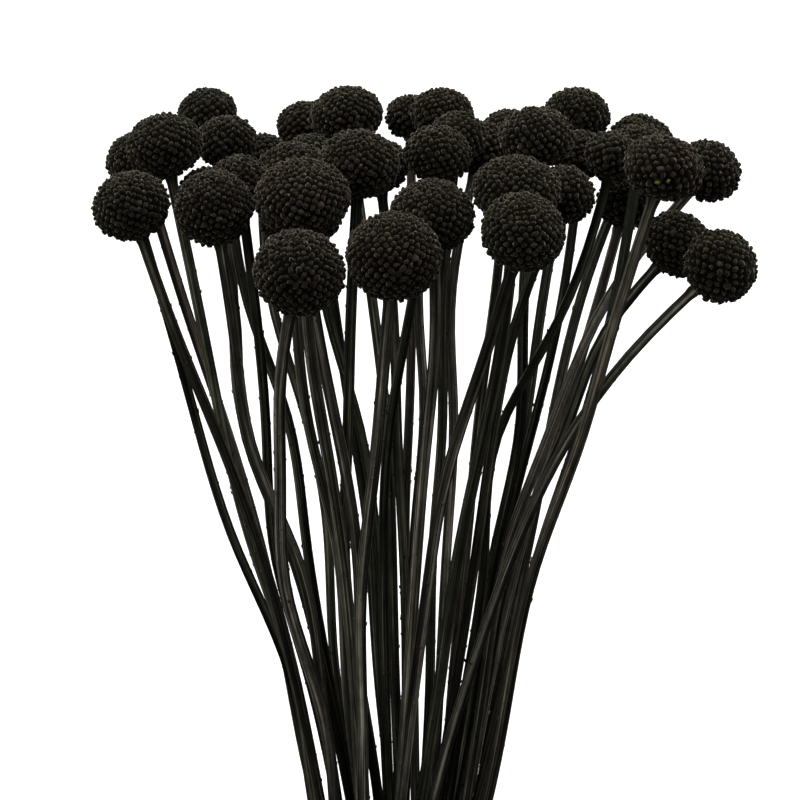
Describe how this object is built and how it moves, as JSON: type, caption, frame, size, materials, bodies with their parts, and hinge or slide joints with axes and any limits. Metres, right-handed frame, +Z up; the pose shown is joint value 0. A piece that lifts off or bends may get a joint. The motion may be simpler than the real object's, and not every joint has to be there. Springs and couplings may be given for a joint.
{
  "type": "billy buttons bunch",
  "caption": "Hand-tied spiral bunch of dyed dried billy buttons: round floret heads on bare slender stems, bound with twine and standing on the cut stem ends.",
  "frame": {"origin": "under the middle of the bunch's bounding box, on the surface that the cut stem ends stand on", "axes": "+Z up along the bunch, +X to the right and +Y away from the viewer of the usual front view"},
  "size_m": [0.2104, 0.1732, 0.5],
  "materials": {
    "dyed_floret": "near-black dyed florets, dry and matt, with slightly paler brown-grey tips",
    "dyed_stem": "near-black dyed dry stem, finely ribbed along its length, with a dull sheen",
    "twine": "natural two-ply jute twine"
  },
  "bodies": {
    "root": {"billy_button_01": "dyed_floret", "billy_button_02": "dyed_floret", "billy_button_03": "dyed_floret", "billy_button_04": "dyed_floret", "billy_button_05": "dyed_floret", "billy_button_06": "dyed_floret", "billy_button_07": "dyed_floret", "billy_button_08": "dyed_floret", "billy_button_09": "dyed_floret", "billy_button_10": "dyed_floret", "billy_button_11": "dyed_floret", "billy_button_12": "dyed_floret", "billy_button_13": "dyed_floret", "billy_button_14": "dyed_floret", "billy_button_15": "dyed_floret", "billy_button_16": "dyed_floret", "billy_button_17": "dyed_floret", "billy_button_18": "dyed_floret", "billy_button_19": "dyed_floret", "billy_button_20": "dyed_floret", "billy_button_21": "dyed_floret", "billy_button_22": "dyed_floret", "billy_button_23": "dyed_floret", "billy_button_24": "dyed_floret", "billy_button_25": "dyed_floret", "billy_button_26": "dyed_floret", "billy_button_27": "dyed_floret", "billy_button_28": "dyed_floret", "billy_button_29": "dyed_floret", "billy_button_30": "dyed_floret", "billy_button_31": "dyed_floret", "billy_button_32": "dyed_floret", "billy_button_33": "dyed_floret", "billy_button_34": "dyed_floret", "billy_button_35": "dyed_floret", "billy_button_36": "dyed_floret", "billy_button_37": "dyed_floret", "billy_button_38": "dyed_floret", "billy_button_39": "dyed_floret", "billy_button_40": "dyed_floret", "billy_button_41": "dyed_floret", "twine_tie": "twine"}
  },
  "joints": []
}
